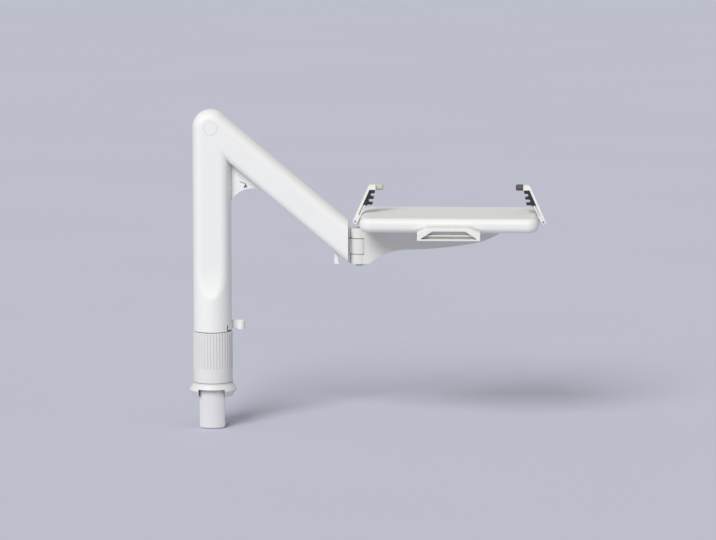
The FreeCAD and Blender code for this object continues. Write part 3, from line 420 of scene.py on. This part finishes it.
# %% The cross
def press_cross(disc, radius, depth):
    """Press a tapered cross into a disc at the origin."""
    arm_reach = 0.75 * radius
    arm_half = 0.16 * radius
    taper = 0.72
    for offset in (-arm_reach, -arm_half, arm_half, arm_reach):
        for across in (Vector((1, 0, 0)), Vector((0, 1, 0))):
            bmesh.ops.bisect_plane(disc, geom=disc.verts[:] + disc.edges[:] + disc.faces[:],
                                   plane_co=across * offset, plane_no=across)
    cross = []
    for face in disc.faces:
        x, y = (abs(v) for v in face.calc_center_median()[:2])
        if min(x, y) < arm_half and max(x, y) < arm_reach:
            cross.append(face)
    pressed = bmesh.ops.extrude_face_region(disc, geom=cross)["geom"]
    floor_points = [v for v in pressed if isinstance(v, bmesh.types.BMVert)]
    bmesh.ops.translate(disc, verts=floor_points, vec=(0, 0, -depth))
    bmesh.ops.scale(disc, verts=floor_points, vec=(taper, taper, 1))
    bmesh.ops.delete(disc, geom=[f for f in cross if f.is_valid], context="FACES")


# %% One screw
def screw_mesh(head_radius, head_height, shank_radius, length):
    """Pan-head screw, its head's flat at the origin facing up."""
    flat = 0.62 * head_radius
    recess_depth = 0.6 * head_height
    tip_radius = 0.3 * shank_radius
    # the dome, as shares of the head's radius and height
    dome = [(0.82, 0.08), (0.95, 0.28), (1.0, 0.6), (1.0, 1.0)]
    rings = [(out * head_radius, down * head_height) for out, down in dome]
    rings += [(shank_radius, head_height), (shank_radius, length - shank_radius), (tip_radius, length)]
    screw = bmesh.new()
    bmesh.ops.create_circle(screw, cap_ends=True, segments=40, radius=flat)
    press_cross(screw, flat, recess_depth)
    grow_rings(screw, flat, rings)
    return smooth_mesh(screw, "screw")


# %% [markdown]
# ## Screws in place
# All the screws of a node go into one mesh, since the node was one too. A screw is made upright at the
# origin, turned about X to face down or back, and moved so that its head ends where the solid's head ends.

# %% Screws in place
def screw_piece(name, node_name, body, turn, head_height_mm, shank_radius_mm):
    """Screws over a node's solids, their heads turned from upright by a rotation about X."""
    pieces = bmesh.new()
    axis = Matrix.Rotation(turn, 4, "X")
    for low, high in solid_boxes(nodes[node_name]):
        width, _, length = sorted(high - low)
        mesh = screw_mesh(width / 2, head_height_mm * MM, shank_radius_mm * MM, length)
        head = (low + high) / 2 + axis @ Vector((0, 0, length / 2))
        mesh.transform(Matrix.Translation(head) @ axis)
        pieces.from_mesh(mesh)
        bpy.data.meshes.remove(mesh)
    mesh = bpy.data.meshes.new(name)
    pieces.to_mesh(mesh)
    pieces.free()
    place_piece(name, mesh, bright_zinc, body, node_name)


facing_down = math.radians(180)
facing_back = math.radians(-90)
screw_piece("bracket_cross_screws", "bracket_screws", "platform", facing_down,
            head_height_mm=2.4, shank_radius_mm=2.0)
screw_piece("rest_cross_screws", "rest_screws", "platform", facing_down,
            head_height_mm=2.4, shank_radius_mm=2.0)
screw_piece("shell_cross_screws", "shell_screws", "swing_arm", facing_back,
            head_height_mm=2.0, shank_radius_mm=1.5)

# %% [markdown]
# ## Soft grip pads
# Each side holder ends in a rubber pad on a peg. The solid is a cylinder with a small round at its nose, but
# soft rubber leaves its mould with a full nose and a slight lip where it meets the plastic. A bevel on the
# cylinder's edge would give the nose alone. Rings along two arcs give nose and lip together, in the same box.

# %% Soft grip pads
nose = 2.6 * MM
lip = 0.5 * MM
peg_radius = 2.5 * MM
peg_length = 5.0 * MM
quarter_turn = [math.radians(15 * k) for k in range(1, 7)]


def pad_piece(name, node_name, body, turn, rubber):
    """Round-nosed pad over a node's solid, its nose turned from upright by a rotation about Y."""
    low, high = solid_boxes(nodes[node_name])[0]
    radius = (high.z - low.z) / 2
    length = high.x - low.x
    mouth = length - peg_length
    rings = [(radius - nose + nose * math.sin(a), nose - nose * math.cos(a)) for a in quarter_turn]
    rings += [(radius - lip + lip * math.cos(a), mouth - lip + lip * math.sin(a)) for a in [0] + quarter_turn]
    rings += [(peg_radius, mouth), (peg_radius, length)]
    pad = bmesh.new()
    bmesh.ops.create_circle(pad, cap_ends=True, segments=48, radius=radius - nose)
    grow_rings(pad, radius - nose, rings)
    axis = Matrix.Rotation(turn, 4, "Y")
    tip = (low + high) / 2 + axis @ Vector((0, 0, length / 2))
    bmesh.ops.transform(pad, matrix=Matrix.Translation(tip) @ axis, verts=pad.verts)
    place_piece(name, smooth_mesh(pad, name), rubber, body, node_name)


facing_right = math.radians(90)
pad_piece("left_round_pad", "left_grip_pad", "left_holder", facing_right, cream_rubber)
pad_piece("right_round_pad", "right_grip_pad", "right_holder", -facing_right, cream_rubber_in_painted_shade)

# %% [markdown]
# ## Rubber sheets of the clamp
# The foot and the jaw each carry a sheet of rubber, so that the clamp neither slips nor scratches. The solids
# are plates with sharp edges, while rubber pressed in a mould comes out with soft ones. Drawing the outlines
# again could go wrong by a hair, so a copy of the solid's mesh is merged, its triangles are joined to whole
# faces, and every corner edge is bevelled.

# %% Rubber sheets of the clamp
edge_softness = 0.6 * MM
flat_below = math.radians(1)
corner_above = math.radians(40)


def sheet_piece(name, node_name, body):
    """Copy of a node's plate with softened edges."""
    sheet = bmesh.new()
    sheet.from_mesh(nodes[node_name].data)
    bmesh.ops.remove_doubles(sheet, verts=sheet.verts, dist=merge_distance)
    bmesh.ops.dissolve_limit(sheet, angle_limit=flat_below, verts=sheet.verts, edges=sheet.edges)
    corners = [e for e in sheet.edges if e.calc_face_angle(0) > corner_above]
    bmesh.ops.bevel(sheet, geom=corners, offset=edge_softness, offset_type="OFFSET", affect="EDGES",
                    segments=4, profile=0.5, material=-1, clamp_overlap=True)
    bmesh.ops.recalc_face_normals(sheet, faces=sheet.faces)
    place_piece(name, smooth_mesh(sheet, name), black_rubber, body, node_name)


sheet_piece("foot_rubber_sheet", "foot_pad", "base")
sheet_piece("jaw_rubber_sheet", "jaw_pad", "jaw")

# %% [markdown]
# ## Dressing the nodes
# Each node keeps its solid shape and only gets its finish. A table of finishes and nodes is easier to read
# and to change than a line for every node. What the table leaves out is a steel piece.

# %% Dress the nodes
finishes = {
    shell_abs: ["front_shell", "back_shell", "bend_caps", "column_cable_clip", "arm_cable_clip"],
    clamp_abs: ["foot", "collar"],
    leg_paint: ["clamp_leg"],
    tray_abs: ["tray", "handset_rest", "left_side_arm", "right_side_arm"],
    bracket_paint: ["tray_bracket", "hinge_lug"],
    rack_plastic: ["left_rack", "right_rack"],
    cream_rubber: ["left_grip_pad"],
    # the right pad takes the cream rubber painted in shade
    cream_rubber_in_painted_shade: ["right_grip_pad"],
    black_rubber: ["foot_pad", "jaw_pad"],
    bush_plastic: ["lower_bush", "upper_bush", "hinge_washers"],
}
finish_of = {name: finish for finish, names in finishes.items() for name in names}
for name, node in nodes.items():
    node.data.materials.clear()
    node.data.materials.append(finish_of.get(name, bright_zinc))
print("finishes given:", len(nodes), "of these steel:", len(set(nodes) - set(finish_of)))

# %% [markdown]
# ## Floor
# The arm is white, so a white ground would swallow its outline. A pale cool grey floor keeps the edge
# readable and still counts as a plain studio. It reaches so far that its edge never shows, and lies a hair
# below the lowest point, so that the two never share a plane.

# %% Floor
floor_reach = 40.0
floor_gap = 0.2 * MM

floor_mesh = bpy.data.meshes.new("floor")
plane = bmesh.new()
bmesh.ops.create_grid(plane, x_segments=1, y_segments=1, size=floor_reach)
bmesh.ops.translate(plane, verts=plane.verts, vec=(0, 0, cad_low.z - floor_gap))
plane.to_mesh(floor_mesh)
plane.free()
floor = add_object("floor", floor_mesh)
floor_paint, tree, shader, place = new_material("pale_grey_studio_floor")
patches = noise(tree, place, size_mm=900, detail=2.0)
fill_inputs(tree, shader, {
    "Base Color": blend(tree, patches, linear("#CFD1DE"), linear("#CBCDDB")),
    "Roughness": 0.9,
    "Specular IOR Level": 0.1,
})
floor.data.materials.append(floor_paint)
print("floor at mm:", round(cad_low.z / MM, 1))

# %% [markdown]
# ## Light
# One broad soft lamp stands at the upper left in front, so the column is bright on its left and falls off to
# the right. A sun lamp lights the near and the far end alike, and its angle of 30 degrees makes the shadows
# as soft as a large window does. The world fills the shadows.

# %% Light
key_side = math.radians(23)
key_height = math.radians(38)
key_distance = 3000 * MM

key_data = bpy.data.lights.new("key", "SUN")
key_data.energy = 2.2
key_data.angle = math.radians(30)
key = add_object("key", key_data)
level = math.cos(key_height)
to_key = Vector((-math.sin(key_side) * level, -math.cos(key_side) * level, math.sin(key_height)))
key.location = (cad_low + cad_high) / 2 + key_distance * to_key
key.rotation_euler = (-to_key).to_track_quat("-Z", "Y").to_euler()

world = bpy.data.worlds.new("studio")
world.use_nodes = True
bpy.context.scene.world = world
sky = world.node_tree.nodes["Background"]
sky.inputs["Color"].default_value = linear("#EDEDF0")
sky.inputs["Strength"].default_value = 0.48
bpy.context.scene.view_settings.view_transform = "Standard"
print("key lamp:", key_data.energy, "world:", sky.inputs["Strength"].default_value)
